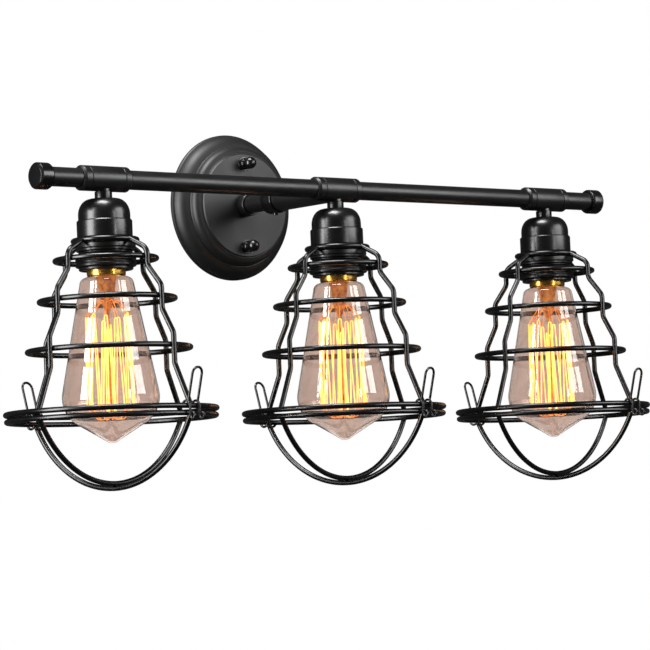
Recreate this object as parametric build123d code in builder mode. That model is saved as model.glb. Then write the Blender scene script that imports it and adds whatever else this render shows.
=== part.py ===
from build123d import *

import os
from math import cos, radians, sin

# Three-lamp vanity light bar for a wall above a mirror. Millimetres.
# The origin is the centre of the canopy's back face, on the wall. +Y points into the
# wall, +X runs along the bar and +Z is up. The three lamp heads hang below the bar.

os.makedirs("parts", exist_ok=True)

# ---- Layout -------------------------------------------------------------------------
head_spacing = 199.0        # centre to centre of two lamp heads
bar_end_reach = 54.5        # outer head axis to the outer face of an end cap
bar_standoff = 121.0        # wall to the bar's axis
rib_turn = 12.0             # degrees by which every cage is turned on its socket
slip = 0.05                 # radial clearance of a tube in its sleeve or collar

# ---- Canopy and what holds it -------------------------------------------------------
canopy_radius = 53.0
canopy_depth = 19.4
canopy_wall = 1.2
rim_height = 1.8            # straight rolled edge against the wall
outer_tier_width = 8.6
inner_tier_width = 6.0
tier_groove = 1.0           # between the two tiers
tier_height = 11.0          # where the two tiers meet
bracket_width = 18.0
bracket_end_gap = 1.4       # bracket's end to the inside of the canopy
bracket_thickness = 1.6
stud_inset = 7.4            # edge of the flat face to each mounting stud
stud_radius = 2.0
box_slot_inset = 9.4        # bracket's end to the middle of each slot for a wall-box screw
box_slot_length = 13.0
box_slot_radius = 2.2
washer_radius = 5.2
washer_thickness = 0.8
nut_base_radius = 4.2
nut_base_height = 2.5
nut_neck_radius = 3.2
nut_ball_radius = 4.3
nut_thread_depth = 5.0
ground_screw_x = 5.2
ground_screw_radius = 1.7
ground_head_radius = 3.4
ground_head_height = 2.0

# ---- Arm ----------------------------------------------------------------------------
tube_radius = 6.5           # arm, bar and stub tubes are the same stock
tube_wall = 1.25
arm_tail = 7.0              # length of arm tube behind the canopy's face
base_collar_wall = 1.7      # every collar and sleeve: tube to its own outside
base_collar_length = 7.0
lock_collar_wall = 3.1
lock_collar_start = 48.0    # distance from the wall
lock_collar_length = 11.5
sleeve_wall = 1.9
set_screw_radius = 1.6
set_screw_stand = 1.2       # how far the set screw stands out of its collar
lock_nut_radius = 8.6       # corner to centre, on a nipple
arm_nut_wall = 3.5          # tube to the corners of the arm's nut
lock_nut_height = 4.0

# ---- Bar ----------------------------------------------------------------------------
coupler_wall = 2.0
coupler_length = 39.0
coupler_bevel = 1.4
seam_inset = 6.0            # end of a coupler to its fine seam groove
seam_width = 0.8
seam_depth = 0.4
tube_end_gap = 0.5          # arm to the bar tubes' ends inside the middle coupler
cap_wall_over_tube = 2.4
cap_length = 10.5
cap_floor = 2.5
cap_bevel = 1.2

# ---- Socket -------------------------------------------------------------------------
nipple_radius = 5.0
nipple_bore = 3.8
nipple_shoulder_radius = 5.8
nipple_reach = 0.55         # how far a nipple stands up into its coupler's bore
nipple_bottom = -19.2
cap_top = -13.3             # crown of the socket cap
cap_dome_width = 8.7        # flat crown to the cap's straight side
holder_wall = 4.0           # screw shell's bore to the socket cap's outside
cap_shoulder = -24.4        # where the cap's dome turns straight
cap_wall = 1.1
shell_top = -27.6
shell_bottom = -39.2
shell_wall = 1.15
cap_lap = 2.4               # how far the cap reaches down inside the shell
holder_clearance = 0.2
holder_floor = 3.0
holder_shoulder_step = 0.45 # how far the holder's shoulder stands past the shell
holder_shoulder_bottom = -41.4
sleeve_thread_step = 0.4    # how far the threaded sleeve lies inside the shell's face
sleeve_bottom = -61.0
thread_pitch = 2.4
thread_depth = 0.6
mouth_flare = 2.1
ring_nut_wall = 2.15
ring_nut_lip = 0.9
upper_nut_height = 5.0
lower_nut_top = -52.2
lower_nut_height = 6.6
screw_shell_bore = 13.3
screw_shell_wall = 0.6
screw_shell_top = -37.5
screw_shell_bottom = -58.0
contact_strip = 0.6
contact_width = 6.0
contact_gap = 0.3           # bulb contact to the spring contact

# ---- Cage, guard and clips ----------------------------------------------------------
hoop_wire = 1.85            # wire radius of the hoops and rims
rib_wire = 1.8              # wire radius of the ribs
weld = 0.5                  # depth to which two crossing wires melt together
collar_ring_gap = 0.25      # holder's shoulder to the collar ring's wire
collar_ring_height = -41.2
collar_plate_height = 1.8
# Each hoop: height, wire centre radius, and the straight rib above and below it.
hoops = [
    (-53.8, 33.45, 4.8, 6.7),
    (-80.6, 44.75, 6.6, 9.4),
    (-113.5, 53.75, 7.5, 12.5),
]
rib_bend = 7.0
rim_ring_radius = 69.45
upper_rim_height = -154.3
rim_gap = 1.0               # between the two rims when the guard is shut
guard_bottom = -206.7
clip_wire = 0.85
clip_half_width = 4.6
clip_gap = 0.45             # clip to the wire it turns or slides on
clip_grip = 0.1             # how hard the fixed clip pinches the rim
clip_hook_turn = 185.0      # degrees that the hook wraps over the rim
clip_curl = 1.9
clip_curl_turn = 270.0
handle_height = 22.5
handle_lean = 14.0          # degrees outwards

# ---- Lamp ---------------------------------------------------------------------------
bulb_radius = 34.6          # corner of the belly before it is rounded
bulb_round = 22.0           # radius of the belly
bulb_belly = -155.0
bulb_tip = -174.8
glass_wall = 0.8
neck_gap = 1.0              # lamp's neck to the screw shell
neck_top = -58.6
shoulder_step = 5.1         # neck to the lamp's shoulder
shoulder_height = -66.6
pip_radius = 9.6
pip_height = -170.2
pip_flat = 2.2
base_clearance = 0.25       # lamp base to the screw shell
base_top = -40.2
base_bottom = -64.4
base_pitch = 3.63
base_thread_depth = 0.7
base_wall = 0.5
contact_radius = 4.6
contact_top = -35.6
stem_radius = 4.2
stem_height = -94.0
filament_wire = 0.35
filament_count = 8
filament_top = -88.0
filament_bottom = -154.0
filament_radius = 14.0

# ---- Wiring -------------------------------------------------------------------------
lead_radius = 1.1
lead_gap = 0.85             # leads to the inside of the arm
lead_bend = 4.0
lead_split = 1.7            # half the distance between two leads in a nipple
lead_depth = 8.5            # distance from the wall where leads turn into the arm
lead_grip = 3.0             # how far a lead goes into its connector
connector_wall = 1.1
connector_ease = 0.1        # connector's mouth inside the leads' outer circle
connector_nut_gap = 1.0     # connector to the arm's nut
connector_end_gap = 2.0     # connector to the mounting stud

heads = {"left": -head_spacing, "middle": 0.0, "right": head_spacing}
rib_azimuths = [rib_turn + quarter * 90 for quarter in range(4)]
hinge_azimuth = rib_turn + 90
latch_azimuth = rib_turn - 90
bar_half_length = head_spacing + bar_end_reach
lower_tier_radius = canopy_radius - outer_tier_width
upper_tier_radius = lower_tier_radius - tier_groove
face_radius = upper_tier_radius - inner_tier_width
stud_offset = face_radius - stud_inset
bracket_half_length = canopy_radius - canopy_wall - bracket_end_gap
box_slot_offset = bracket_half_length - box_slot_inset

tube_bore = tube_radius - tube_wall
sleeve_bore = tube_radius + slip
tube_gap = tube_radius + tube_end_gap
nipple_top = nipple_reach - sleeve_bore
lead_ring = tube_bore - lead_radius - lead_gap
connector_bore = lead_ring + lead_radius - connector_ease
connector_radius = connector_bore + connector_wall
connector_start = tube_radius + arm_nut_wall + connector_nut_gap
connector_length = stud_offset - stud_radius - connector_end_gap - connector_start
lead_end = connector_start + lead_grip
base_collar_radius = tube_radius + base_collar_wall
lock_collar_radius = tube_radius + lock_collar_wall
sleeve_radius = tube_radius + sleeve_wall
coupler_radius = tube_radius + coupler_wall
cap_radius = tube_radius + cap_wall_over_tube

socket_cap_radius = screw_shell_bore + holder_wall
shell_radius = socket_cap_radius + shell_wall
holder_shoulder_radius = shell_radius + holder_shoulder_step
sleeve_thread_radius = shell_radius - sleeve_thread_step
ring_nut_radius = sleeve_thread_radius + ring_nut_wall
collar_ring_radius = holder_shoulder_radius + hoop_wire + collar_ring_gap
neck_radius = screw_shell_bore - neck_gap
shoulder_radius = neck_radius + shoulder_step
lower_rim_height = upper_rim_height - 2 * hoop_wire - rim_gap

holder_top = shell_top - cap_lap - holder_clearance
holder_floor_bottom = holder_top - holder_floor
shell_bore = socket_cap_radius + slip
collar_plate_bottom = holder_shoulder_bottom - collar_plate_height


# ---- Frames of reference ------------------------------------------------------------
def facing_room(depth):
    """Plane parallel to the wall, its normal pointing away from it."""
    return Plane(origin=(0, -depth, 0), x_dir=(1, 0, 0), z_dir=(0, -1, 0))


def across_bar(x):
    """Plane square to the bar, its normal along +X."""
    return Plane(origin=(x, -bar_standoff, 0), x_dir=(0, 1, 0), z_dir=(1, 0, 0))


def radial_plane(x, azimuth, shift=0.0):
    """Upright half plane through a head's axis: local X outwards, local Y up."""
    across, along = cos(radians(azimuth)), sin(radians(azimuth))
    origin = (x - along * shift, -bar_standoff + across * shift, 0)
    return Plane(origin=origin, x_dir=(across, along, 0), z_dir=(along, -across, 0))


def head_axis(x):
    return Axis((x, -bar_standoff, 0), (0, 0, 1))


def save(piece, name):
    piece.part.label = name
    export_step(piece.part, f"parts/{name}.step")


def save_group(pieces, name):
    """Identical pieces share one node, each as its own solid."""
    group = Compound(label=name, children=[piece.part for piece in pieces])
    export_step(group, f"parts/{name}.step")


def turned(plane, axis, *outline):
    """A piece of revolution from a closed outline of straight lines."""
    with BuildPart() as piece:
        with BuildSketch(plane):
            with BuildLine():
                Polyline(*outline, close=True)
            make_face()
        revolve(axis=axis)
    return piece


def turned_on_head(x, *outline):
    return turned(radial_plane(x, 0), head_axis(x), *outline)


arm_section = Plane(origin=(0, 0, 0), x_dir=(1, 0, 0), z_dir=(0, 0, -1))


def turned_on_arm(*outline):
    """Outline points are (radius, distance from the wall)."""
    return turned(arm_section, Axis.Y, *outline)


def ridges(crest, root, top, bottom, pitch):
    """Outline points of rounded-off thread ridges, from top to bottom."""
    count = int((top - bottom) // pitch)
    points = []
    for turn in range(count):
        start = top - turn * pitch
        points.append((root, start))
        points.append((crest, start - pitch * 0.35))
        points.append((crest, start - pitch * 0.6))
    points.append((root, top - count * pitch))
    return points


# ---- Canopy -------------------------------------------------------------------------
def canopy_outline(inset):
    """Half section of the canopy, shrunk by inset: rim, two round tiers and face."""
    rim = canopy_radius - inset
    face = canopy_depth - inset
    lower = lower_tier_radius - inset
    upper = upper_tier_radius - inset
    top = tier_height - inset
    Polyline((0, 0), (rim, 0), (rim, rim_height), (rim - 1.2, rim_height + 0.9))
    SagittaArc((rim - 1.2, rim_height + 0.9), (lower, top), 1.1)
    Polyline((lower, top), (lower - 0.5, top + 0.5), (upper, top + 0.4))
    SagittaArc((upper, top + 0.4), (face_radius + 0.9 - inset, face - 1.4), 1.0)
    Polyline(
        (face_radius + 0.9 - inset, face - 1.4),
        (face_radius + 0.3 - inset, face - 1.3),
        (face_radius - inset, face),
        (0, face),
        (0, 0),
    )


with BuildPart() as canopy:
    with BuildSketch(arm_section):
        with BuildLine():
            canopy_outline(0)
        make_face()
    revolve(axis=Axis.Y)
    with BuildSketch(arm_section):
        with BuildLine():
            canopy_outline(canopy_wall)
        make_face()
    revolve(axis=Axis.Y, mode=Mode.SUBTRACT)
    with BuildSketch(facing_room(0)):
        Circle(tube_radius + slip)
        with Locations((0, stud_offset), (0, -stud_offset)):
            Circle(stud_radius + 2 * slip)
    extrude(amount=canopy_depth + 1, mode=Mode.SUBTRACT)
save(canopy, "canopy")

with BuildPart() as wall_bracket:
    with BuildSketch(facing_room(0)):
        RectangleRounded(bracket_width, 2 * bracket_half_length, 3)
        with Locations((0, stud_offset), (0, -stud_offset)):
            Circle(stud_radius + slip, mode=Mode.SUBTRACT)
        with Locations((ground_screw_x, 0)):
            Circle(ground_screw_radius + slip, mode=Mode.SUBTRACT)
        with Locations((0, box_slot_offset), (0, -box_slot_offset)):
            SlotOverall(box_slot_length, 2 * box_slot_radius, rotation=90, mode=Mode.SUBTRACT)
    extrude(amount=bracket_thickness)
save(wall_bracket, "wall_bracket")

nut_seat = canopy_depth + washer_thickness
stud_end = nut_seat + nut_thread_depth
ball_centre = nut_base_height + 0.6 + nut_ball_radius * 0.9
studs, washers, cap_nuts = [], [], []
for side in (1, -1):
    centre = (0, side * stud_offset)
    with BuildPart() as stud:
        with BuildSketch(facing_room(0)):
            with Locations(centre):
                Circle(stud_radius)
        extrude(amount=stud_end)
        chamfer(stud.faces().sort_by(Axis.Y)[0].edges(), 0.4)
    studs.append(stud)
    with BuildPart() as washer:
        with BuildSketch(facing_room(canopy_depth)):
            with Locations(centre):
                Circle(washer_radius)
                Circle(stud_radius + 2 * slip, mode=Mode.SUBTRACT)
        extrude(amount=washer_thickness)
    washers.append(washer)
    with BuildPart() as cap_nut:
        with BuildSketch(facing_room(nut_seat)):
            with Locations(centre):
                Circle(nut_base_radius)
        extrude(amount=nut_base_height)
        fillet(cap_nut.faces().sort_by(Axis.Y)[0].edges(), 0.7)
        with BuildSketch(facing_room(nut_seat)):
            with Locations(centre):
                Circle(nut_neck_radius)
        extrude(amount=ball_centre)
        with Locations((0, -nut_seat - ball_centre, side * stud_offset)):
            Sphere(nut_ball_radius)
        with BuildSketch(facing_room(nut_seat)):
            with Locations(centre):
                Circle(stud_radius + slip)
        extrude(amount=nut_thread_depth + 0.4, mode=Mode.SUBTRACT)
    cap_nuts.append(cap_nut)
save_group(studs, "mounting_studs")
save_group(washers, "cap_nut_washers")
save_group(cap_nuts, "cap_nuts")

with BuildPart() as ground_screw:
    with BuildSketch(facing_room(0)):
        with Locations((ground_screw_x, 0)):
            Circle(ground_screw_radius)
    extrude(amount=bracket_thickness)
    with BuildSketch(facing_room(bracket_thickness)):
        with Locations((ground_screw_x, 0)):
            Circle(ground_head_radius)
    extrude(amount=ground_head_height)
    with BuildSketch(facing_room(bracket_thickness + ground_head_height)):
        with Locations((ground_screw_x, 0)):
            Rectangle(2 * ground_head_radius, 0.8)
    extrude(amount=-0.8, mode=Mode.SUBTRACT)
save(ground_screw, "ground_screw")

connectors = []
for side in (1, -1):
    with BuildPart() as connector:
        start = Plane(
            origin=(0, -lead_depth, side * connector_start), x_dir=(1, 0, 0), z_dir=(0, 0, side)
        )
        with BuildSketch(start):
            Circle(connector_radius)
        extrude(amount=connector_length, taper=4)
        fillet(connector.faces().sort_by(Axis.Z)[-1 if side > 0 else 0].edges(), 1.5)
        with BuildSketch(start):
            Circle(connector_bore)
        extrude(amount=connector_length * 0.6, mode=Mode.SUBTRACT)
    connectors.append(connector)
save_group(connectors, "wire_connectors")

# ---- Arm ----------------------------------------------------------------------------
arm_start = canopy_depth - arm_tail
arm_end = bar_standoff - sleeve_bore
lock_collar_end = lock_collar_start + lock_collar_length

arm_tube = turned_on_arm(
    (tube_bore, arm_start),
    (tube_radius, arm_start),
    (tube_radius, arm_end),
    (tube_bore, arm_end),
)
save(arm_tube, "arm_tube")

collar_start = canopy_depth
collar_end = collar_start + base_collar_length
arm_base_collar = turned_on_arm(
    (sleeve_bore, collar_start),
    (base_collar_radius, collar_start),
    (base_collar_radius, collar_end - 1.6),
    (base_collar_radius - 1.0, collar_end),
    (sleeve_bore, collar_end),
)
save(arm_base_collar, "arm_base_collar")

with BuildPart() as arm_lock_collar:
    with BuildSketch(facing_room(lock_collar_start)):
        Circle(lock_collar_radius)
        Circle(sleeve_bore, mode=Mode.SUBTRACT)
    extrude(amount=lock_collar_length)
    rims = arm_lock_collar.edges().filter_by(GeomType.CIRCLE).sort_by(SortBy.RADIUS)[-2:]
    chamfer(rims, 1.0)
    screw_hole = Plane(
        origin=(0, -lock_collar_start - lock_collar_length / 2, 0), x_dir=(1, 0, 0), z_dir=(0, 0, -1)
    )
    with BuildSketch(screw_hole):
        Circle(set_screw_radius + slip)
    extrude(amount=lock_collar_radius + 1, mode=Mode.SUBTRACT)
save(arm_lock_collar, "arm_lock_collar")

with BuildPart() as collar_set_screw:
    with BuildSketch(screw_hole.offset(tube_radius + slip)):
        Circle(set_screw_radius)
    extrude(amount=lock_collar_radius + set_screw_stand - tube_radius - slip)
    with BuildSketch(screw_hole.offset(lock_collar_radius + set_screw_stand)):
        RegularPolygon(set_screw_radius * 0.55, 6)
    extrude(amount=-1.5, mode=Mode.SUBTRACT)
save(collar_set_screw, "collar_set_screw")

with BuildPart() as arm_sleeve:
    with BuildSketch(facing_room(lock_collar_end)):
        Circle(sleeve_radius)
        Circle(sleeve_bore, mode=Mode.SUBTRACT)
    extrude(amount=bar_standoff - lock_collar_end)
    with BuildSketch(across_bar(-coupler_length / 2)):
        Circle(coupler_radius)
    extrude(amount=coupler_length, mode=Mode.SUBTRACT)
    with BuildSketch(Plane((0, -bar_standoff, 0))):
        Circle(nipple_shoulder_radius + slip)
    extrude(amount=-coupler_radius, mode=Mode.SUBTRACT)
save(arm_sleeve, "arm_sleeve")

# ---- Bar ----------------------------------------------------------------------------
for side, x in heads.items():
    with BuildPart() as coupler:
        with BuildSketch(across_bar(x - coupler_length / 2)):
            Circle(coupler_radius)
        extrude(amount=coupler_length)
        chamfer(coupler.edges().filter_by(GeomType.CIRCLE), coupler_bevel)
        for end in (-1, 1):
            groove = x + end * (coupler_length / 2 - seam_inset) - seam_width / 2
            with BuildSketch(across_bar(groove)):
                Circle(coupler_radius)
                Circle(coupler_radius - seam_depth, mode=Mode.SUBTRACT)
            extrude(amount=seam_width, mode=Mode.SUBTRACT)
        with BuildSketch(across_bar(x - coupler_length / 2)):
            Circle(sleeve_bore)
        extrude(amount=coupler_length, mode=Mode.SUBTRACT)
        with BuildSketch(Plane((x, -bar_standoff, 0))):
            Circle(nipple_radius + slip)
        extrude(amount=-coupler_radius, mode=Mode.SUBTRACT)
        if side == "middle":
            with BuildSketch(facing_room(bar_standoff - coupler_radius)):
                Circle(sleeve_bore)
            extrude(amount=coupler_radius, mode=Mode.SUBTRACT)
    save(coupler, f"{side}_coupler")

stub_end = bar_half_length - cap_floor
tubes = {
    "left_bar_tube": (-head_spacing + tube_gap, -tube_gap),
    "right_bar_tube": (tube_gap, head_spacing - tube_gap),
    "left_stub_tube": (-stub_end, -head_spacing - tube_gap),
    "right_stub_tube": (head_spacing + tube_gap, stub_end),
}
for name, (start, end) in tubes.items():
    with BuildPart() as tube:
        with BuildSketch(across_bar(start)):
            Circle(tube_radius)
            Circle(tube_bore, mode=Mode.SUBTRACT)
        extrude(amount=end - start)
    save(tube, name)

for side, way in (("left", -1), ("right", 1)):
    with BuildPart() as end_cap:
        face = Plane(
            origin=(way * bar_half_length, -bar_standoff, 0), x_dir=(0, 1, 0), z_dir=(-way, 0, 0)
        )
        with BuildSketch(face):
            Circle(cap_radius)
        extrude(amount=cap_length)
        chamfer(end_cap.edges().filter_by(GeomType.CIRCLE), cap_bevel)
        with BuildSketch(face.offset(cap_floor)):
            Circle(sleeve_bore)
        extrude(amount=cap_length, mode=Mode.SUBTRACT)
    save(end_cap, f"{side}_end_cap")

# ---- Sockets ------------------------------------------------------------------------
nipples, lock_nuts, ring_nuts, screw_shells, contacts = [], [], [], [], []

with BuildPart() as arm_nut:
    with BuildSketch(facing_room(canopy_depth - canopy_wall - lock_nut_height)):
        RegularPolygon(tube_radius + arm_nut_wall, 6)
        Circle(sleeve_bore, mode=Mode.SUBTRACT)
    extrude(amount=lock_nut_height)
lock_nuts.append(arm_nut)

for side, x in heads.items():
    shoulder_top = -coupler_radius - slip
    nipples.append(
        turned_on_head(
            x,
            (nipple_bore, nipple_top),
            (nipple_radius, nipple_top),
            (nipple_radius, shoulder_top),
            (nipple_shoulder_radius, shoulder_top),
            (nipple_shoulder_radius, cap_top),
            (nipple_radius, cap_top),
            (nipple_radius, nipple_bottom),
            (nipple_bore, nipple_bottom),
        )
    )
    with BuildPart() as nipple_nut:
        with BuildSketch(Plane((x, -bar_standoff, cap_top - cap_wall))):
            RegularPolygon(lock_nut_radius, 6)
            Circle(nipple_radius + slip, mode=Mode.SUBTRACT)
        extrude(amount=-lock_nut_height)
    lock_nuts.append(nipple_nut)

    with BuildPart() as socket_cap:
        for inset, mode in ((0, Mode.ADD), (cap_wall, Mode.SUBTRACT)):
            straight = socket_cap_radius - inset
            crown_radius = socket_cap_radius - cap_dome_width
            with BuildSketch(radial_plane(x, 0)):
                with BuildLine():
                    Line((0, cap_top - inset), (crown_radius, cap_top - inset))
                    bend = (
                        0.42 * crown_radius + 0.58 * straight + 1.6,
                        0.62 * (cap_top - inset) + 0.38 * cap_shoulder,
                    )
                    ThreePointArc((crown_radius, cap_top - inset), bend, (straight, cap_shoulder))
                    Polyline(
                        (straight, cap_shoulder),
                        (straight, shell_top - cap_lap),
                        (0, shell_top - cap_lap),
                        (0, cap_top - inset),
                    )
                make_face()
            revolve(axis=head_axis(x), mode=mode)
        with BuildSketch(Plane((x, -bar_standoff, cap_top))):
            Circle(nipple_radius + slip)
        extrude(amount=-2 * cap_wall, mode=Mode.SUBTRACT)
    save(socket_cap, f"{side}_socket_cap")

    socket_shell = turned_on_head(
        x,
        (shell_bore, shell_top),
        (shell_radius - 0.5, shell_top),
        (shell_radius, shell_top - 0.7),
        (shell_radius, shell_bottom),
        (shell_bore, shell_bottom),
    )
    save(socket_shell, f"{side}_socket_shell")

    # The moulded lamp holder: a cup for the screw shell with a threaded sleeve outside.
    shell_seat = screw_shell_bore + screw_shell_wall + slip
    holder_outer = [
        (0, holder_top),
        (shell_bore - slip - 0.05, holder_top),
        (shell_bore - slip - 0.05, shell_bottom),
        (holder_shoulder_radius, shell_bottom),
        (holder_shoulder_radius, holder_shoulder_bottom),
    ]
    threads = ridges(
        sleeve_thread_radius,
        sleeve_thread_radius - thread_depth,
        holder_shoulder_bottom,
        sleeve_bottom + 1.6,
        thread_pitch,
    )
    holder_inner = [
        (sleeve_thread_radius, sleeve_bottom + 1.6),
        (sleeve_thread_radius, sleeve_bottom + 0.5),
        (sleeve_thread_radius - 0.5, sleeve_bottom),
        (screw_shell_bore + mouth_flare, sleeve_bottom),
        (shell_seat, screw_shell_bottom),
        (shell_seat, screw_shell_top),
        (shell_seat - 2.0, screw_shell_top),
        (shell_seat - 2.0, holder_floor_bottom),
        (0, holder_floor_bottom),
    ]
    lampholder = turned_on_head(x, *holder_outer, *threads, *holder_inner)
    with BuildPart() as drilled_holder:
        add(lampholder.part)
        with BuildSketch(Plane((x, -bar_standoff, holder_top))):
            with Locations((0, lead_split), (0, -lead_split)):
                Circle(lead_radius + 2 * slip)
        extrude(amount=-holder_floor / 2, mode=Mode.SUBTRACT)
    save(drilled_holder, f"{side}_lampholder")

    screw_shells.append(
        turned_on_head(
            x,
            (screw_shell_bore, screw_shell_top),
            (screw_shell_bore + screw_shell_wall, screw_shell_top),
            (screw_shell_bore + screw_shell_wall, screw_shell_bottom),
            (screw_shell_bore, screw_shell_bottom),
        )
    )

    # Spring contact: riveted flat under the holder's floor, dropping to the lamp.
    with BuildPart() as contact:
        tongue_bottom = contact_top + contact_gap
        with BuildSketch(radial_plane(x, 0)):
            with BuildLine():
                Polyline(
                    (-9, holder_floor_bottom),
                    (-3, holder_floor_bottom),
                    (0, tongue_bottom + contact_strip),
                    (3, tongue_bottom + contact_strip),
                    (3, tongue_bottom),
                    (-0.3, tongue_bottom),
                    (-3.3, holder_floor_bottom - contact_strip),
                    (-9, holder_floor_bottom - contact_strip),
                    close=True,
                )
            make_face()
        extrude(amount=contact_width / 2, both=True)
    contacts.append(contact)

    ring_bore = sleeve_thread_radius + slip
    upper_nut_bottom = collar_plate_bottom - upper_nut_height
    ring_nuts.append(
        turned_on_head(
            x,
            (ring_bore, collar_plate_bottom),
            (ring_nut_radius - 0.4, collar_plate_bottom),
            (ring_nut_radius, collar_plate_bottom - 0.4),
            (ring_nut_radius, upper_nut_bottom + 2.0),
            (ring_nut_radius - ring_nut_lip, upper_nut_bottom + 1.4),
            (ring_nut_radius - ring_nut_lip, upper_nut_bottom),
            (ring_bore, upper_nut_bottom),
        )
    )
    lower_nut_bottom = lower_nut_top - lower_nut_height
    waist = (lower_nut_top + lower_nut_bottom) / 2
    ring_nuts.append(
        turned_on_head(
            x,
            (ring_bore, lower_nut_top),
            (ring_nut_radius - 0.4, lower_nut_top),
            (ring_nut_radius, lower_nut_top - 0.4),
            (ring_nut_radius, waist + 1.2),
            (ring_nut_radius - ring_nut_lip, waist + 0.6),
            (ring_nut_radius - ring_nut_lip, waist - 0.6),
            (ring_nut_radius, waist - 1.2),
            (ring_nut_radius, lower_nut_bottom + 0.6),
            (ring_nut_radius - 0.6, lower_nut_bottom),
            (ring_bore, lower_nut_bottom),
        )
    )
save_group(nipples, "nipples")
save_group(lock_nuts, "lock_nuts")
save_group(ring_nuts, "ring_nuts")
save_group(screw_shells, "screw_shells")
save_group(contacts, "centre_contacts")


# ---- Cages, guards and clips --------------------------------------------------------
def rib_points():
    """Rib line in its radial plane: straight past each hoop, sloping between them."""
    points = [(collar_ring_radius, collar_ring_height)]
    for height, radius, above, below in hoops:
        line = radius + hoop_wire + rib_wire - weld
        points.append((line, height + above))
        points.append((line, height - below))
    points.append((rim_ring_radius - 0.4, upper_rim_height + 0.8))
    return points


def swept_wire(plane, radius, draw):
    """Add a round wire along the line that draw() makes in a plane."""
    with BuildLine(plane) as path:
        draw()
    with BuildSketch(Plane(origin=path.line @ 0, z_dir=path.line % 0)) as profile:
        Circle(radius)
    sweep(profile.sketch, path=path.line)


def clip_handle_plane(x, azimuth, base_radius, base_height):
    """Plane of a clip's hairpin handle, leaning outwards from the rim."""
    across, along = cos(radians(azimuth)), sin(radians(azimuth))
    lean, rise = sin(radians(handle_lean)), cos(radians(handle_lean))
    origin = (x + across * base_radius, -bar_standoff + along * base_radius, base_height)
    normal = Vector(across * rise, along * rise, -lean)
    return Plane(origin=origin, x_dir=(-along, across, 0), z_dir=normal)


def clip(x, azimuth, hook_radius, is_latch):
    """Spring clip: two hooks over the upper rim, a hairpin handle above, ends below."""
    with BuildPart() as piece:
        for shift in (-clip_half_width, clip_half_width):

            def hook_line():
                outside = rim_ring_radius + hook_radius
                CenterArc(
                    (rim_ring_radius, upper_rim_height), hook_radius, clip_hook_turn, -clip_hook_turn
                )
                if is_latch:
                    low = lower_rim_height - clip_curl
                    Line((outside, upper_rim_height), (outside, low))
                    CenterArc((outside + clip_curl, low), clip_curl, 180, clip_curl_turn)
                else:
                    reach = hook_radius + guard_inset
                    Line((outside, upper_rim_height), (outside, lower_rim_height))
                    CenterArc((outside - reach, lower_rim_height), reach, 0, -180)

            swept_wire(radial_plane(x, azimuth, shift), clip_wire, hook_line)
        foot = radians(55)
        plane = clip_handle_plane(
            x,
            azimuth,
            rim_ring_radius + hook_radius * cos(foot),
            upper_rim_height + hook_radius * sin(foot),
        )

        def handle_line():
            FilletPolyline(
                (-clip_half_width, 0),
                (-clip_half_width, handle_height),
                (clip_half_width, handle_height),
                (clip_half_width, 0),
                radius=clip_half_width - 0.2,
            )

        swept_wire(plane, clip_wire, handle_line)
    return piece


# The lower rim is drawn in so that it passes the gripping clip with its clearance.
guard_inset = clip_gap + clip_grip
guard_ring_radius = rim_ring_radius - guard_inset
hinge_hook = hoop_wire + clip_wire - clip_grip
latch_hook = hoop_wire + clip_wire + clip_gap
hinge_clips = []
for side, x in heads.items():
    with BuildPart() as cage:
        for height, radius, above, below in hoops:
            with Locations((x, -bar_standoff, height)):
                Torus(radius, hoop_wire)
        with Locations((x, -bar_standoff, upper_rim_height)):
            Torus(rim_ring_radius, hoop_wire)
        with Locations((x, -bar_standoff, collar_ring_height)):
            Torus(collar_ring_radius, hoop_wire)
        with BuildSketch(Plane((x, -bar_standoff, collar_plate_bottom))):
            Circle(collar_ring_radius)
            Circle(sleeve_thread_radius + 2 * slip, mode=Mode.SUBTRACT)
        extrude(amount=collar_plate_height)
        for azimuth in rib_azimuths:
            swept_wire(
                radial_plane(x, azimuth),
                rib_wire,
                lambda: FilletPolyline(*rib_points(), radius=rib_bend),
            )
    save(cage, f"{side}_cage")

    with BuildPart() as guard:
        with Locations((x, -bar_standoff, lower_rim_height)):
            Torus(guard_ring_radius, hoop_wire)
        lowest = guard_bottom + hoop_wire
        crossing = lowest + hoop_wire + rib_wire - weld
        for azimuth, dip in ((hinge_azimuth, lowest), (rib_turn, crossing)):
            swept_wire(
                radial_plane(x, azimuth),
                rib_wire,
                lambda: ThreePointArc(
                    (-guard_ring_radius + 0.3, lower_rim_height - 0.8),
                    (0, dip),
                    (guard_ring_radius - 0.3, lower_rim_height - 0.8),
                ),
            )
    save(guard, f"{side}_guard")

    hinge_clips.append(clip(x, hinge_azimuth, hinge_hook, False))
    save(clip(x, latch_azimuth, latch_hook, True), f"{side}_latch_clip")
save_group(hinge_clips, "hinge_clips")


# ---- Lamps --------------------------------------------------------------------------
def bulb_points(inset):
    """Half section of the lamp's glass from its neck to its pip, shrunk by inset."""
    return [
        (neck_radius - inset, neck_top),
        (neck_radius - inset, base_bottom - 0.3),
        (shoulder_radius - inset, shoulder_height),
        (bulb_radius - inset, bulb_belly),
        (pip_radius - inset, pip_height + inset),
        (pip_flat - inset / 2, bulb_tip + inset),
        (0, bulb_tip + inset),
    ]


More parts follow.
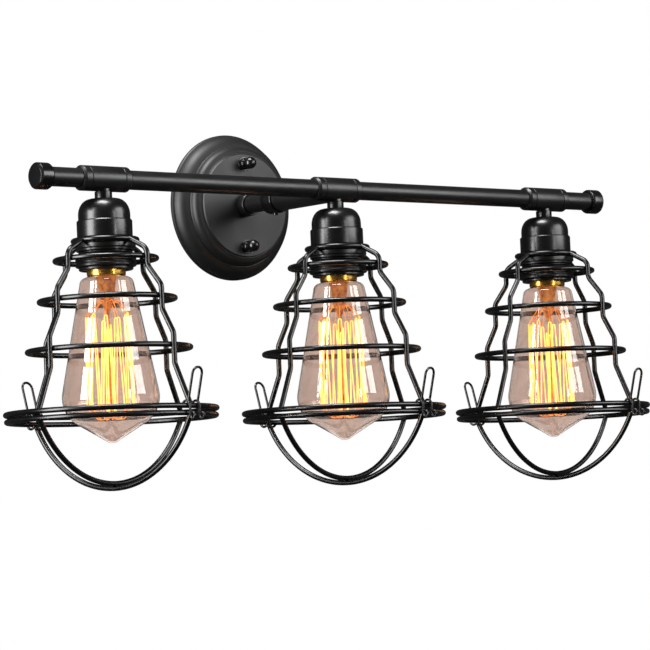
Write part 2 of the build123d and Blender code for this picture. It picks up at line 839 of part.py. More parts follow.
for side, x in heads.items():
    with BuildPart() as bulb_glass:
        for inset, mode in ((0, Mode.ADD), (glass_wall, Mode.SUBTRACT)):
            with BuildSketch(radial_plane(x, 0)):
                with BuildLine():
                    points = bulb_points(inset)
                    FilletPolyline(*points, radius=[0.5, 5, bulb_round, 5, 4])
                    Polyline(points[-1], (0, neck_top), points[0])
                make_face()
            revolve(axis=head_axis(x), mode=mode)
    save(bulb_glass, f"{side}_bulb_glass")

    base_radius = screw_shell_bore - base_clearance
    root_radius = base_radius - base_thread_depth
    bore = neck_radius + slip
    skirt_top = base_top - 5 * base_pitch
    bulb_base = turned_on_head(
        x,
        (contact_radius + 0.6, base_top + 3.2),
        (contact_radius + 2.0, base_top + 3.2),
        (root_radius, base_top),
        *ridges(base_radius, root_radius, base_top, skirt_top, base_pitch)[1:],
        (base_radius - 0.2, skirt_top - 0.4),
        (bore + 0.7, base_bottom),
        (bore, base_bottom),
        (bore, skirt_top + 0.1),
        (root_radius - base_wall, skirt_top + 0.1),
        (root_radius - base_wall, base_top - 0.6),
        (contact_radius + 0.6, base_top + 1.8),
    )
    save(bulb_base, f"{side}_bulb_base")

    # The centre contact and its glass insulator: round about the lamp's axis.
    bulb_contact = turned_on_head(
        x,
        (0, contact_top),
        (2.6, contact_top),
        (contact_radius - 0.4, contact_top - 1.0),
        (contact_radius, contact_top - 1.4),
        (contact_radius, base_top + 1.4),
        (0, base_top + 1.4),
    )
    save(bulb_contact, f"{side}_bulb_contact")

    with BuildPart() as bulb_filament:
        with BuildSketch(radial_plane(x, 0)):
            with BuildLine():
                Polyline(
                    (0, neck_top - 1.0),
                    (neck_radius - glass_wall - 1.5, neck_top - 1.0),
                    (stem_radius, neck_top - 14),
                    (stem_radius * 0.7, stem_height),
                    (1.2, stem_height - 3),
                    (1.2, filament_bottom - 2),
                    (0, filament_bottom - 2),
                    close=True,
                )
            make_face()
        revolve(axis=head_axis(x))
        for turn in range(filament_count):
            swept_wire(
                radial_plane(x, turn * 360 / filament_count),
                filament_wire,
                lambda: FilletPolyline(
                    (1.0, filament_top),
                    (filament_radius - 2, filament_top - 3),
                    (filament_radius, filament_bottom + 4),
                    (1.0, filament_bottom),
                    radius=1.5,
                ),
            )
    save(bulb_filament, f"{side}_bulb_filament")

# ---- Wiring -------------------------------------------------------------------------
# Each lamp has two leads. They lie on one circle in the arm, six in all, and turn into
# the bar and down the nipple; live leads end in the upper connector, neutral below.
lead_angles = {"left": (150, 210), "middle": (90, 270), "right": (30, -30)}
for side, x in heads.items():
    leads = []
    for angle, way in zip(lead_angles[side], (1, -1)):
        across = lead_ring * cos(radians(angle))
        up = lead_ring * sin(radians(angle))
        split = -way * lead_split if side == "middle" else way * lead_split
        along = -bar_standoff + split
        route = [(across, -lead_depth, way * lead_end), (across, -lead_depth, up), (across, along, up)]
        if side != "middle":
            route.append((x, along, up))
        route.append((x, along, holder_top - 1.0))
        with BuildPart() as lead:
            with BuildLine() as path:
                FilletPolyline(*route, radius=lead_bend)
            with BuildSketch(Plane(origin=path.line @ 0, z_dir=path.line % 0)):
                Circle(lead_radius)
            sweep(path=path.line)
        leads.append(lead)
    save_group(leads, f"{side}_leads")
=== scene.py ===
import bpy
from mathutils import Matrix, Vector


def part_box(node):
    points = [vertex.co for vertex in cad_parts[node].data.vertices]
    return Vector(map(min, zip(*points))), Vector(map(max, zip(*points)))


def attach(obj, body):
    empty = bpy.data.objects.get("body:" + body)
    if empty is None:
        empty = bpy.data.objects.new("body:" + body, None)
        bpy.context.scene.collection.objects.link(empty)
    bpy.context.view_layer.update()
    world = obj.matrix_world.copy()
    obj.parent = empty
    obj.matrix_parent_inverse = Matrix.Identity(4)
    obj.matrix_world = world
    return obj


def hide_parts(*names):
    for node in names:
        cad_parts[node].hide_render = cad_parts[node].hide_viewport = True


bl_info = {
    "name": "Vanity light bar",
    "version": (1, 0, 0),
    "blender": (4, 5, 0),
    "location": "3D View > Sidebar > Vanity Light",
    "description": "Finished pieces and finishes of a three-lamp vanity light with wire cages",
    "category": "Add Mesh",
}

from math import asin, cos, pi, radians, sin, tan

import bmesh
import bpy
from bpy.props import FloatProperty, FloatVectorProperty, IntProperty, PointerProperty
from mathutils import Matrix, Vector

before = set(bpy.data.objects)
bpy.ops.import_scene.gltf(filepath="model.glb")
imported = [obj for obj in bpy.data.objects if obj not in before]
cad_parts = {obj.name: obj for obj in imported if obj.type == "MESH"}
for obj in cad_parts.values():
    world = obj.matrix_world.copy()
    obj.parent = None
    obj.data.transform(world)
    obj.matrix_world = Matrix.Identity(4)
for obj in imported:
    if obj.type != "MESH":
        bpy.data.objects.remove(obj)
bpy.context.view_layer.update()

MM = 0.001
MERGE_DISTANCE = 1e-7
ON_AXIS = 1e-4  # an outline's point nearer to its axis than this is a pole
SIDES = ("left", "middle", "right")
ROOT = "fixture"


# ---- Places read from the frame -----------------------------------------------------
def centre_of(node):
    """Middle of a CAD node's box, in metres."""
    low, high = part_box(node)
    return (Vector(low) + Vector(high)) / 2


def head_origin(side):
    """Where a head's axis crosses the bar's axis."""
    shell = centre_of(f"{side}_socket_shell")
    return Vector((shell.x, shell.y, centre_of("left_bar_tube").z))


BAR_CENTRE = head_origin("middle")
STANDOFF = -BAR_CENTRE.y
HALF_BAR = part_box("right_end_cap")[1][0]
CANOPY_DEPTH = -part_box("canopy")[0][1]
CANOPY_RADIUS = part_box("canopy")[1][0]
NUT_BALL = 4.3  # radius of a cap nut's ball, mm
STUD_OFFSET = (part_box("cap_nuts")[1][2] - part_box("cap_nuts")[0][2]) / 2 - NUT_BALL * MM
PIPE_RADIUS = 6.5  # pipe of the arm and the bar, mm
PIPE_BORE = 5.25
SLEEVE_BORE = 6.55  # what slips over that pipe, mm


# ---- Settings -----------------------------------------------------------------------
def length(name, description, default):
    return FloatProperty(name=name, description=description, default=default * MM, unit="LENGTH")


def angle(name, description, default):
    return FloatProperty(name=name, description=description, default=default, unit="ROTATION")


def colour(name, description, hexcode):
    return FloatVectorProperty(
        name=name, description=description, default=linear(hexcode)[:3], size=3, subtype="COLOR"
    )


def linear(hexcode):
    """sRGB hex colour as linear RGBA."""
    channels = [int(hexcode[i : i + 2], 16) / 255 for i in (1, 3, 5)]
    light = [c / 12.92 if c <= 0.04045 else ((c + 0.055) / 1.055) ** 2.4 for c in channels]
    return (*light, 1.0)


class VanityWireSizes(bpy.types.PropertyGroup):
    hoop: length("Hoop wire", "Radius of the wire in the hoops and rims", 1.85)
    rib: length("Rib wire", "Radius of the wire in the ribs and the guard", 1.8)
    clip: length("Clip wire", "Radius of the spring wire in the clips", 0.85)
    weld: length("Weld depth", "How far two crossing wires melt together", 0.5)
    bend: length("Rib bend", "Bend radius of a rib", 7.0)
    filament: length("Filament", "Radius of one glowing strand as the eye sees it", 0.42)
    turn: angle("Cage turn", "Turn of each cage on its socket", radians(12))
    strands: IntProperty(name="Strands", description="Filament legs in one lamp", default=22, min=4)


class VanityFinishes(bpy.types.PropertyGroup):
    powder: colour("Powder coat", "Satin powder coat of canopy, arm and bar", "#0e0e0f")
    enamel: colour("Enamel", "Gloss enamel of the sockets and cap nuts", "#090909")
    lacquer: colour("Wire lacquer", "Semi-gloss lacquer of the wires", "#060606")
    phenolic: colour("Phenolic", "Moulded lamp holder and ring nuts", "#0b0a09")
    brass: colour("Brass", "Lamp base", "#d9a94e")
    glass: colour("Glass tint", "Faint amber tint of the lamp glass", "#dfcec5")
    glow: colour("Glow", "Light of the filament", "#ffb648")


class VanityStage(bpy.types.PropertyGroup):
    yaw: angle("Yaw", "Camera turned to the right of square on", radians(39.45))
    pitch: angle("Pitch", "Camera looking up", radians(3.9))
    roll: angle("Roll", "Camera rolled", -0.0417)
    lens: FloatProperty(
        name="Lens", description="Focal length on a 36 mm sensor", default=186.4, unit="CAMERA"
    )
    back: length("Across", "Camera to the left of the bar's centre", 1496.1)
    away: length("Away", "Camera in front of the bar", 1801.2)
    below: length("Below", "Camera under the bar's axis", 254.0)
    floor: length("Floor", "Floor under the bar's axis", 520.0)


# ---- Node helpers -------------------------------------------------------------------
def add_node(tree, kind, inputs=None, **settings):
    """Add a node, give its plain settings, then its inputs as values or as links."""
    node = tree.nodes.new(kind)
    for name, value in settings.items():
        setattr(node, name, value)
    for name, value in (inputs or {}).items():
        if isinstance(value, bpy.types.NodeSocket):
            tree.links.new(value, node.inputs[name])
        else:
            node.inputs[name].default_value = value
    return node


def new_material(name, **shader):
    """A material whose Principled shader has its plain values set."""
    material = bpy.data.materials.new(name)
    material.use_nodes = True
    tree = material.node_tree
    principled = tree.nodes["Principled BSDF"]
    for socket, value in shader.items():
        principled.inputs[socket.replace("_", " ")].default_value = value
    return material, tree, principled


def object_noise(tree, grain_mm, detail=2.0, roughness=0.5):
    """Noise over the object's own coordinates, with blotches of a real size."""
    place = add_node(tree, "ShaderNodeTexCoord").outputs["Object"]
    grain = {"Vector": place, "Scale": 1 / (grain_mm * MM), "Detail": detail, "Roughness": roughness}
    return add_node(tree, "ShaderNodeTexNoise", grain).outputs["Fac"]


# Nearly all of a noise lies between these two values.
NOISE_LOW, NOISE_HIGH = 0.3, 0.7


def remap(tree, value, low, high):
    """Spread a noise between two numbers."""
    span = {"Value": value, "To Min": low, "To Max": high, "From Min": NOISE_LOW, "From Max": NOISE_HIGH}
    return add_node(tree, "ShaderNodeMapRange", span).outputs["Result"]


def mottle(tree, value, low, high):
    """Spread a noise between two colours."""
    ramp = add_node(tree, "ShaderNodeValToRGB", {"Fac": value})
    stops = ((NOISE_LOW, low), (NOISE_HIGH, high))
    for element, (position, shade_there) in zip(ramp.color_ramp.elements, stops):
        element.position = position
        element.color = shade_there
    return ramp.outputs["Color"]


def bump(tree, principled, height, strength, depth_mm):
    """Raise the skin by a noise, to a real depth."""
    relief = {"Height": height, "Strength": strength, "Distance": depth_mm * MM}
    normal = add_node(tree, "ShaderNodeBump", relief).outputs["Normal"]
    tree.links.new(normal, principled.inputs["Normal"])


def shade(rgb, factor):
    """A colour made darker or lighter."""
    return (*[min(1.0, channel * factor) for channel in rgb[:3]], 1.0)


def coated(name, rgb, roughness, peel_mm, peel_depth_mm, spread):
    """Paint or lacquer on metal: a skin with orange peel, and patches of gloss some
    26 mm across."""
    material, tree, principled = new_material(name, IOR=1.5)
    cloud = object_noise(tree, 26.0, detail=3.0)
    peel = object_noise(tree, peel_mm, detail=1.5)
    rough = remap(tree, cloud, roughness - spread, roughness + spread)
    tree.links.new(rough, principled.inputs["Roughness"])
    skin = mottle(tree, peel, shade(rgb, 0.86), shade(rgb, 1.16))
    tree.links.new(skin, principled.inputs["Base Color"])
    bump(tree, principled, peel, 0.35, peel_depth_mm)
    return material


# ---- Finishes -----------------------------------------------------------------------
def satin_powder_coat(finish):
    """Baked polyester powder: a broad soft sheen over a faint orange peel, whose real
    0.5 mm grain is drawn at 1.4 mm so that it shows."""
    return coated("satin_powder_coat", finish.powder, 0.5, 1.4, 0.035, 0.05)


def smooth_powder_coat(finish):
    """The same powder over drawn pipe, which flows out smoother: a tighter band of sheen."""
    return coated("smooth_powder_coat", finish.powder, 0.38, 1.4, 0.02, 0.04)


def gloss_enamel(finish):
    """Stoved black enamel: near-black with sharp window-like highlights."""
    return coated("gloss_enamel", finish.enamel, 0.26, 3.0, 0.012, 0.04)


def wire_lacquer(finish):
    """Dipped lacquer on drawn steel wire: dark, with a thin bright line along the wire
    and slow drips in its thickness."""
    return coated("wire_lacquer", finish.lacquer, 0.27, 2.2, 0.03, 0.06)


def moulded_phenolic(finish):
    """Compression-moulded phenolic: dark brown-black, glossy, with flow marks."""
    return coated("moulded_phenolic", finish.phenolic, 0.3, 1.8, 0.02, 0.07)


def rolled_brass(finish):
    """Thin rolled brass of the lamp base: warm metal with fine scuffs round it."""
    material, tree, principled = new_material("rolled_brass", Metallic=1.0)
    scuff = object_noise(tree, 1.1, detail=4.0, roughness=0.7)
    tint = mottle(tree, scuff, shade(finish.brass, 0.78), shade(finish.brass, 1.1))
    tree.links.new(tint, principled.inputs["Base Color"])
    tree.links.new(remap(tree, scuff, 0.18, 0.36), principled.inputs["Roughness"])
    bump(tree, principled, scuff, 0.2, 0.03)
    return material


def lamp_glass(finish):
    """Blown soda-lime glass, thin, with a faint amber flash and slight waviness."""
    material, tree, principled = new_material(
        "lamp_glass", IOR=1.52, Transmission_Weight=1.0, Roughness=0.0, Specular_IOR_Level=0.14
    )
    wave = object_noise(tree, 18.0, detail=1.0)
    tint = mottle(tree, wave, shade(finish.glass, 0.96), shade(finish.glass, 1.0))
    tree.links.new(tint, principled.inputs["Base Color"])
    bump(tree, principled, wave, 0.15, 0.1)
    return material


def stem_glass(finish):
    """Lead glass of the stem inside the lamp, amber with streaks: the filament's light that it pipes down
    is a painted glow, an emission in the same streaked amber."""
    # The emission is a painted glow standing in for the filament's light carried down the stem.
    material, tree, principled = new_material(
        "stem_glass", IOR=1.55, Transmission_Weight=0.55, Roughness=0.15, Emission_Strength=0.28
    )
    streak = object_noise(tree, 4.0, detail=3.0)
    tint = mottle(tree, streak, linear("#8a4208"), linear("#f5b04a"))
    tree.links.new(tint, principled.inputs["Base Color"])
    tree.links.new(tint, principled.inputs["Emission Color"])
    return material


def glowing_filament(finish):
    """Carbon filament at full heat: patches of yellow-white and amber along it."""
    material, tree, principled = new_material("glowing_filament", Roughness=0.6, Emission_Strength=3.0)
    glow_noise = object_noise(tree, 9.0, detail=2.0)
    glow = mottle(tree, glow_noise, shade(finish.glow, 0.8), linear("#ffd27a"))
    tree.links.new(glow, principled.inputs["Emission Color"])
    tree.links.new(glow, principled.inputs["Base Color"])
    return material


def glow_painted_molybdenum(finish):
    """Thin molybdenum supports beside the filament, with a painted dull orange glow for the filament's
    light falling on them.
    """
    # The emission is a painted glow: the filament's orange light on the supports, drawn as their own.
    material, tree, principled = new_material(
        "glow_painted_molybdenum", Metallic=1.0, Roughness=0.4, Emission_Strength=1.1
    )
    glow_noise = object_noise(tree, 6.0, detail=2.0)
    glow = mottle(tree, glow_noise, linear("#c05a10"), linear("#ffb347"))
    tree.links.new(glow, principled.inputs["Emission Color"])
    tree.links.new(glow, principled.inputs["Base Color"])
    return material


def plated_steel(name, base, dark):
    """Zinc or nickel plate on steel: grey metal with a cloudy, slightly rough skin."""
    material, tree, principled = new_material(name, Metallic=1.0)
    cloud = object_noise(tree, 3.5, detail=3.0)
    tree.links.new(mottle(tree, cloud, dark, base), principled.inputs["Base Color"])
    tree.links.new(remap(tree, cloud, 0.28, 0.45), principled.inputs["Roughness"])
    return material


def soft_plastic(name, base, roughness):
    """Moulded plastic: even colour with a fine matt texture from the mould."""
    material, tree, principled = new_material(name, IOR=1.46)
    grain = object_noise(tree, 0.9, detail=2.0)
    tree.links.new(mottle(tree, grain, shade(base, 0.85), base), principled.inputs["Base Color"])
    tree.links.new(remap(tree, grain, roughness - 0.05, roughness + 0.08), principled.inputs["Roughness"])
    bump(tree, principled, grain, 0.3, 0.03)
    return material


FINISH_MAKERS = {
    "satin_powder_coat": satin_powder_coat,
    "smooth_powder_coat": smooth_powder_coat,
    "gloss_enamel": gloss_enamel,
    "wire_lacquer": wire_lacquer,
    "moulded_phenolic": moulded_phenolic,
    "rolled_brass": rolled_brass,
    "lamp_glass": lamp_glass,
    "stem_glass": stem_glass,
    "glowing_filament": glowing_filament,
    "glow_painted_molybdenum": glow_painted_molybdenum,
    "zinc_plate": lambda finish: plated_steel("zinc_plate", linear("#b9b7b0"), linear("#8f8d87")),
    "nickel_plate": lambda finish: plated_steel("nickel_plate", linear("#cfc6b0"), linear("#a99f88")),
    "green_plate": lambda finish: plated_steel("green_plate", linear("#2f9a55"), linear("#1d6b39")),
    "connector_plastic": lambda finish: soft_plastic("connector_plastic", linear("#d9661f"), 0.5),
    "lead_insulation": lambda finish: soft_plastic("lead_insulation", linear("#2a2a2b"), 0.45),
}


def finish(name):
    """The named finish, made the first time it is asked for."""
    if name not in bpy.data.materials:
        FINISH_MAKERS[name](bpy.context.scene.vanity_finishes)
    return bpy.data.materials[name]


# ---- Mesh helpers -------------------------------------------------------------------
def keep(obj, body, material, slot, *replaced):
    """Hand a finished piece to the frame."""
    if material not in [m.name for m in obj.data.materials if m]:
        obj.data.materials.clear()
        obj.data.materials.append(finish(material))
    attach(obj, body)
    if replaced:
        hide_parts(*replaced)
    return obj


def to_object(name, bm, sharp=32):
    """Mesh object from a bmesh: outward faces, smooth but for edges sharper than given."""
    bmesh.ops.remove_doubles(bm, verts=bm.verts, dist=MERGE_DISTANCE)
    bmesh.ops.recalc_face_normals(bm, faces=bm.faces)
    mesh = bpy.data.meshes.new(name)
    bm.to_mesh(mesh)
    bm.free()
    mesh.shade_smooth()
    mesh.set_sharp_from_angle(angle=radians(sharp))
    obj = bpy.data.objects.new(name, mesh)
    bpy.context.scene.collection.objects.link(obj)
    return obj


def rounded(points, radius, steps=6, closed=False):
    """A line of points with each corner turned into an arc of up to the given radius."""
    line = [Vector(p) for p in points]
    radii = radius if isinstance(radius, (list, tuple)) else [radius] * len(line)
    result = []
    for index, corner in enumerate(line):
        if not closed and index in (0, len(line) - 1):
            result.append(corner)
            continue
        before, after = line[index - 1], line[(index + 1) % len(line)]
        back, ahead = before - corner, after - corner
        bend = pi - back.angle(ahead)
        if bend < 1e-4 or radii[index] <= 0:
            result.append(corner)
            continue
        reach = min(radii[index] * tan(bend / 2), back.length * 0.49, ahead.length * 0.49)
        bow = reach / tan(bend / 2)
        middle = (back.normalized() + ahead.normalized()).normalized()
        hub = corner + middle * (bow / cos(bend / 2))
        first = corner + back.normalized() * reach - hub
        last = corner + ahead.normalized() * reach - hub
        count = max(2, round(steps * bend / (pi / 2)) + 1)
        for step in range(count + 1):
            t = step / count
            blend = (first * sin((1 - t) * bend) + last * sin(t * bend)) / sin(bend)
            result.append(hub + blend)
    return result


def place_on_axis(origin, axis):
    """Function from (radius, angle, height) to a point round an axis; mm in, metres out."""
    def on_z(r, a, h):
        return origin + Vector((r * cos(a), r * sin(a), h)) * MM

    def on_x(r, a, h):
        return origin + Vector((h, r * cos(a), r * sin(a))) * MM

    def from_wall(r, a, h):
        return origin + Vector((r * cos(a), -h, r * sin(a))) * MM

    return {"Z": on_z, "X": on_x, "WALL": from_wall}[axis]


def lathe(bm, outline, origin, axis="Z", segments=72):
    """Add a closed shell of revolution from a closed outline of (radius, height) in mm."""
    place = place_on_axis(origin, axis)
    rings = []
    for point in outline:
        r, h = point[:2]
        if r < ON_AXIS:
            rings.append([bm.verts.new(place(0, 0, h))] * segments)
        else:
            rings.append([bm.verts.new(place(r, 2 * pi * k / segments, h)) for k in range(segments)])
    for low, high in zip(rings, rings[1:] + rings[:1]):
        for k in range(segments):
            n = (k + 1) % segments
            corners = []
            for vert in (low[k], low[n], high[n], high[k]):
                if vert not in corners:
                    corners.append(vert)
            if len(corners) > 2:
                bm.faces.new(corners)


def turned_piece(name, outlines, origin, axis="Z", segments=72, edge=0.0):
    """One or more turned shells as one object, with their corners slightly rounded."""
    bm = bmesh.new()
    for outline in outlines:
        line = outline
        if edge:
            radii = [edge if p[0] > ON_AXIS else 0.0 for p in outline]
            line = rounded([(*p, 0) for p in outline], radii, 4, closed=True)
        lathe(bm, line, origin, axis, segments)
    return to_object(name, bm)


def radial_point(origin, azimuth, radius, height, shift=0.0):
    """Point in a head's radial plane, in metres: radius out, height up, shift sideways."""
    across, along = cos(azimuth), sin(azimuth)
    return origin + Vector((radius * across - shift * along, radius * along + shift * across, height)) * MM


# ---- Wires --------------------------------------------------------------------------
def wire_tree():
    """Geometry Nodes tree that turns marked edges into round wires."""
    name = "round_wires"
    if name in bpy.data.node_groups:
        return bpy.data.node_groups[name]
    tree = bpy.data.node_groups.new(name, "GeometryNodeTree")
    face = tree.interface
    face.new_socket("Geometry", in_out="INPUT", socket_type="NodeSocketGeometry")
    face.new_socket("Sides", in_out="INPUT", socket_type="NodeSocketInt").default_value = 14
    face.new_socket("Finish", in_out="INPUT", socket_type="NodeSocketMaterial")
    face.new_socket("Geometry", in_out="OUTPUT", socket_type="NodeSocketGeometry")
    given = add_node(tree, "NodeGroupInput")
    line = add_node(tree, "GeometryNodeMeshToCurve", {"Mesh": given.outputs["Geometry"]})
    gauge = add_node(tree, "GeometryNodeInputNamedAttribute", {"Name": "wire_radius"}, data_type="FLOAT")
    round_shape = {"Resolution": given.outputs["Sides"], "Radius": 1.0}
    ring = add_node(tree, "GeometryNodeCurvePrimitiveCircle", round_shape)
    tube = add_node(
        tree,
        "GeometryNodeCurveToMesh",
        {
            "Curve": line.outputs["Curve"],
            "Profile Curve": ring.outputs["Curve"],
            "Scale": gauge.outputs["Attribute"],
            "Fill Caps": True,
        },
    )
    smooth = add_node(tree, "GeometryNodeSetShadeSmooth", {"Geometry": tube.outputs["Mesh"]})
    real = add_node(tree, "GeometryNodeRealizeInstances", {"Geometry": smooth.outputs["Geometry"]})
    done = add_node(
        tree,
        "GeometryNodeSetMaterial",
        {"Geometry": real.outputs["Geometry"], "Material": given.outputs["Finish"]},
    )
    add_node(tree, "NodeGroupOutput", {"Geometry": done.outputs["Geometry"]})
    return tree


def wire_piece(name, wires, material, sides=14):
    """One object of round wires; each wire is (points in metres, radius, closed)."""
    bm = bmesh.new()
    gauge = bm.verts.layers.float.new("wire_radius")
    for points, radius, closed in wires:
        verts = [bm.verts.new(p) for p in points]
        for vert in verts:
            vert[gauge] = radius
        for first, second in zip(verts, verts[1:]):
            bm.edges.new((first, second))
        if closed:
            bm.edges.new((verts[-1], verts[0]))
    mesh = bpy.data.meshes.new(name + "_lines")
    bm.to_mesh(mesh)
    bm.free()
    lines = bpy.data.objects.new(name + "_lines", mesh)
    bpy.context.scene.collection.objects.link(lines)
    modifier = lines.modifiers.new("wires", "NODES")
    modifier.node_group = wire_tree()
    inputs = {"Sides": sides, "Finish": finish(material)}
    for item in modifier.node_group.interface.items_tree:
        if item.in_out == "INPUT" and item.name in inputs:
            modifier[item.identifier] = inputs[item.name]
    evaluated = lines.evaluated_get(bpy.context.evaluated_depsgraph_get())
    solid = bpy.data.meshes.new_from_object(evaluated)
    solid.name = name
    bpy.data.objects.remove(lines)
    # The caps close each wire's ends; its seams are merged and its faces turned outwards.
    bm = bmesh.new()
    bm.from_mesh(solid)
    bmesh.ops.remove_doubles(bm, verts=bm.verts, dist=MERGE_DISTANCE)
    bmesh.ops.recalc_face_normals(bm, faces=bm.faces)
    bm.to_mesh(solid)
    bm.free()
    solid.shade_smooth()
    solid.set_sharp_from_angle(angle=radians(50))
    piece = bpy.data.objects.new(name, solid)
    bpy.context.scene.collection.objects.link(piece)
    return piece


def hoop_line(origin, radius, height, count=120):
    """Points of a level hoop round a head's axis."""
    return [radial_point(origin, 2 * pi * k / count, radius, height) for k in range(count)]


def radial_line(origin, azimuth, points, shift=0.0):
    """A line of (radius, height) in mm, stood up in a head's radial plane."""
    return [radial_point(origin, azimuth, p[0], p[1], shift) for p in points]


# ---- Canopy -------------------------------------------------------------------------
SHEET = 1.2  # thickness of the canopy's sheet, mm
ARM_HOLE = 6.6
LOWER_TIER = (44.6, 10.9)  # where each round tier ends: radius and distance from the wall
UPPER_TIER = (38.6, 17.6)
TIER_BULGE = 1.5


def canopy_section():
    """Outline of the canopy's wall, outside then inside, in mm from the wall."""
    rim = CANOPY_RADIUS / MM
    depth = CANOPY_DEPTH / MM
    outside = [(rim, 0.0), (rim, 1.6), (rim - 0.5, 2.4), (rim - 1.3, 2.8)]
    outside += bulged((rim - 1.5, 2.9), LOWER_TIER, TIER_BULGE)
    outside += [(44.1, 11.15), (43.75, 11.1), (43.5, 11.4)]
    outside += bulged((43.4, 11.7), UPPER_TIER, TIER_BULGE)
    outside += [(38.2, 17.95), (37.8, 17.9), (37.5, 18.2), (37.35, 18.9), (36.9, depth), (ARM_HOLE, depth)]
    inside = [(max(r - SHEET - 0.1, ARM_HOLE), max(h - SHEET, 0.0)) for r, h in reversed(outside)]
    return outside + inside


def bulged(start, end, height, steps=10):
    """Points of an arc from start to end that bulges outwards by a height."""
    first, last = Vector(start), Vector(end)
    along = last - first
    out = Vector((-along.y, along.x)).normalized()
    if out.x < 0:
        out = -out
    points = []
    for step in range(steps + 1):
        t = step / steps
        points.append(tuple(first + along * t + out * height * 4 * t * (1 - t)))
    return points


WASHER = 0.8  # thickness, mm


def build_canopy(context):
    """Canopy, and under each ball nut its washer."""
    origin = Vector((0, 0, 0))
    dish = turned_piece("canopy_dish", [canopy_section()], origin, "WALL", 160)
    keep(dish, ROOT, "satin_powder_coat", "black_steel", "canopy")
    depth = CANOPY_DEPTH / MM
    for label, side in (("upper", 1), ("lower", -1)):
        seat = Vector((0, 0, side * STUD_OFFSET))
        base = depth + WASHER
        washer = [(2.2, depth), (5.2, depth), (5.2, base), (2.2, base)]
        piece = turned_piece(f"{label}_nut_washer", [washer], seat, "WALL", 48, 0.25)
        keep(piece, ROOT, "gloss_enamel", "black_steel", *(["cap_nut_washers"] if side > 0 else []))
        ball = [(2.1, base), (4.2, base), (4.2, base + 1.9), (3.9, base + 2.4)]
        ball += [(3.2, base + 2.7), (3.1, base + 3.3)]
        hub = base + 3.3 + 3.6
        for step in range(3, 17):
            polar = pi * step / 16
            ball.append((max(NUT_BALL * sin(polar), 0.0), hub - NUT_BALL * cos(polar)))
        ball += [(0.0, base + 5.6), (2.1, base + 5.2)]
        piece = turned_piece(f"{label}_cap_nut", [ball], seat, "WALL", 48)
        keep(piece, ROOT, "gloss_enamel", "gloss_black", *(["cap_nuts"] if side > 0 else []))


# ---- Arm and bar --------------------------------------------------------------------
def build_arm(context):
    """Pipe from the canopy to the bar, with its collars and sheath."""
    origin = Vector((0, 0, 0))
    depth = CANOPY_DEPTH / MM
    reach = STANDOFF / MM

    def tube(name, bore, radius, start, end, edge, node, material="smooth_powder_coat"):
        outline = [(bore, start), (radius, start), (radius, end), (bore, end)]
        piece = turned_piece(name, [outline], origin, "WALL", 64, edge)
        keep(piece, ROOT, material, "black_steel", node)

    lock_end = 59.5
    tube("arm_pipe", PIPE_BORE, PIPE_RADIUS, depth - 7, reach - 6.6, 0.2, "arm_tube")
    tube("canopy_collar", SLEEVE_BORE, 8.2, depth, depth + 7, 1.2, "arm_base_collar")
    tube("locking_collar", SLEEVE_BORE, 9.6, 48, lock_end, 0.9, "arm_lock_collar", "gloss_enamel")
    tube("arm_sheath", SLEEVE_BORE, 8.4, lock_end, reach - 2.0, 0.5, "arm_sleeve")


def coupler_outline(half):
    """Sleeve with bevelled ends and a fine seam near each end, about its own middle."""
    outer, mouth, groove = 8.5, 7.1, 8.1
    points = [(SLEEVE_BORE, -half), (mouth, -half), (outer, -half + 1.4)]
    for seam in (-half + 5.6, half - 6.4):
        points += [(outer, seam), (groove, seam + 0.15), (groove, seam + 0.65), (outer, seam + 0.8)]
    points += [(outer, half - 1.4), (mouth, half), (SLEEVE_BORE, half)]
    return points


def half_length(node):
    """Half a node's length along the bar, in mm."""
    low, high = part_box(node)
    return (high[0] - low[0]) / 2 / MM


def build_bar(context):
    """Couplers, the four pipes between and beyond them, and the end caps."""
    for side in SIDES:
        node = f"{side}_coupler"
        outline = coupler_outline(half_length(node))
        piece = turned_piece(f"{side}_bar_coupler", [outline], head_origin(side), "X", 72, 0.18)
        keep(piece, ROOT, "smooth_powder_coat", "black_steel", node)
    for node in ("left_bar_tube", "right_bar_tube", "left_stub_tube", "right_stub_tube"):
        half = half_length(node)
        outline = [(PIPE_BORE, -half), (PIPE_RADIUS, -half), (PIPE_RADIUS, half), (PIPE_BORE, half)]
        piece = turned_piece(node.replace("tube", "pipe"), [outline], centre_of(node), "X", 64, 0.15)
        keep(piece, ROOT, "smooth_powder_coat", "black_steel", node)
    for side, way in (("left", -1), ("right", 1)):
        face = Vector((way * HALF_BAR, BAR_CENTRE.y, BAR_CENTRE.z))
        shell = [(0, 0), (7.4, 0), (8.9, 1.3), (8.9, 9.3), (8.2, 10.5)]
        shell += [(SLEEVE_BORE, 10.5), (SLEEVE_BORE, 2.5), (0, 2.5)]
        outline = [(r, -way * h) for r, h in shell]
        piece = turned_piece(f"{side}_bar_cap", [outline], face, "X", 72, 0.35)
        keep(piece, ROOT, "gloss_enamel", "black_steel", f"{side}_end_cap")


# ---- Sockets ------------------------------------------------------------------------
def thread_outline(crest, root, top, bottom, pitch):
    """Rounded thread ridges from top to bottom."""
    points = []
    count = int((top - bottom) / pitch)
    for turn in range(count):
        for step in range(8):
            t = step / 8
            wave = 0.5 - 0.5 * cos(2 * pi * t)
            points.append((root + (crest - root) * wave ** 0.7, top - (turn + t) * pitch))
    points.append((root, top - count * pitch))
    return points


# Heights on a head are in mm from the bar's axis, down being negative.
CAP_TOP, CAP_SPRING, CAP_FOOT = -13.3, -24.2, -30.0
SKIRT_FOOT = -39.2
HOLDER_FOOT = -61.0
CAP_RADIUS, CAP_CROWN = 17.3, 8.0
CAP_WALL = 1.1


